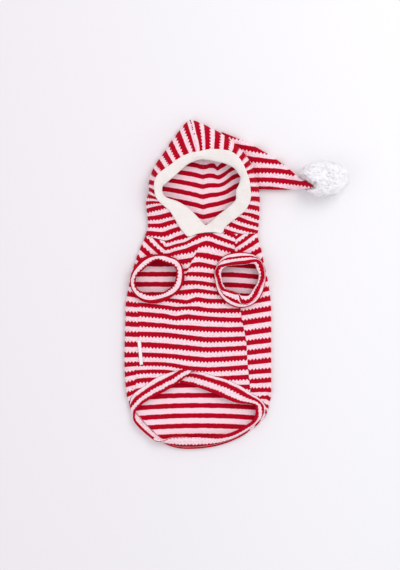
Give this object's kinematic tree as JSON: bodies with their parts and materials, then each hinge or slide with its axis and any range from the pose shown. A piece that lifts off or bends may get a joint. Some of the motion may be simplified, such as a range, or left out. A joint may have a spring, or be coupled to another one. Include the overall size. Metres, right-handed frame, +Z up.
{
  "type": "sleeveless dog sweatshirt",
  "caption": "Sleeveless hooded dog sweatshirt in striped knit laid flat belly up, with open armholes and hem, a fleece-trimmed hood and its tail with a pompom.",
  "frame": {"origin": "centre of the garment's bounding box, on the surface it lies on", "axes": "+Y towards the hood's peak, +Z up from the surface, +X towards the hood's tail and pompom"},
  "size_m": [0.3139, 0.4602, 0.0512],
  "materials": {
    "striped_knit": "matte knit in red and pale pink stripes",
    "cream_fleece": "matte looped fleece",
    "pompom_yarn": "matte brushed yarn",
    "label_tape": "plain woven tape"
  },
  "bodies": {
    "root": {"back_panel": "striped_knit", "belly_panel": "striped_knit", "hood_left": "striped_knit", "hood_right": "striped_knit", "face_trim": "cream_fleece", "armhole_band_left": "striped_knit", "armhole_band_right": "striped_knit", "hem_band": "striped_knit", "hood_tail": "striped_knit", "pompom": "pompom_yarn", "side_label": "label_tape"}
  },
  "joints": []
}
